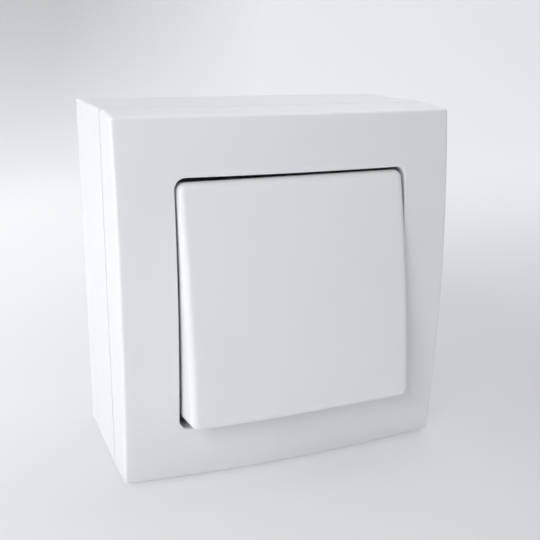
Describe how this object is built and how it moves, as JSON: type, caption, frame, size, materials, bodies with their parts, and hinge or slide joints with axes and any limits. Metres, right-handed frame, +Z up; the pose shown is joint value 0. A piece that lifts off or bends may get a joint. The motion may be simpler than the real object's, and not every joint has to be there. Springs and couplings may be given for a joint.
{
  "type": "surface mounted light switch",
  "caption": "Surface mounted rocker light switch: deep square back box, crowned cover frame and one wide tilting rocker over a two-way contact insert.",
  "frame": {"origin": "centre of the flat back of the box, on the wall", "axes": "+Y out of the back into the wall, so the rocker faces -Y; +Z up; +X to the right of someone who faces the switch"},
  "size_m": [0.081, 0.0518, 0.0852],
  "materials": {
    "white_plastic": "satin, finely textured, as moulded",
    "grey_plastic": "as moulded",
    "ivory_plastic": "as moulded",
    "zinc_steel": "zinc plated",
    "spring_steel": "drawn wire",
    "brass": "stamped",
    "contact_silver": "satin silver"
  },
  "bodies": {
    "housing": {"back_box": "white_plastic", "cover_frame": "white_plastic", "support_plate": "zinc_steel", "plate_screw_left": "zinc_steel", "plate_screw_right": "zinc_steel", "insert_base": "grey_plastic", "bearing_bridge": "grey_plastic", "insert_screw_left": "zinc_steel", "insert_screw_right": "zinc_steel", "common_strip": "brass", "upper_strip": "brass", "lower_strip": "brass", "fixed_contact_upper": "contact_silver", "fixed_contact_lower": "contact_silver", "clamp_common": "brass", "clamp_upper": "brass", "clamp_lower": "brass", "clamp_screw_common": "zinc_steel", "clamp_screw_upper": "zinc_steel", "clamp_screw_lower": "zinc_steel"},
    "rocker": {"rocker_cap": "white_plastic", "actuator": "ivory_plastic", "plunger_spring": "spring_steel"},
    "plunger_body": {"plunger": "ivory_plastic"},
    "contact_body": {"contact_rocker": "brass", "moving_contact_upper": "contact_silver", "moving_contact_lower": "contact_silver"}
  },
  "joints": [
    {"name": "rocker_tilt", "type": "hinge", "parent": "housing", "child": "rocker", "pos_m": [0, -0.03803, 0], "axis": [1, 0, 0], "range_deg": [0, 16.8]},
    {"name": "contact_tip", "type": "hinge", "parent": "housing", "child": "contact_body", "pos_m": [0, -0.0183, 0], "axis": [1, 0, 0], "range_deg": [-12, 0]},
    {"name": "plunger_press", "type": "slide", "parent": "rocker", "child": "plunger_body", "axis": [0, -0.9893, 0.1461], "range_m": [0, 0.0008], "stiffness_N_per_m": 300, "springref_m": -0.005, "deforming": ["plunger_spring"]}
  ],
  "couplings": [
    {"joint": "contact_tip", "follows": "rocker_tilt", "ratio": -0.714}
  ]
}
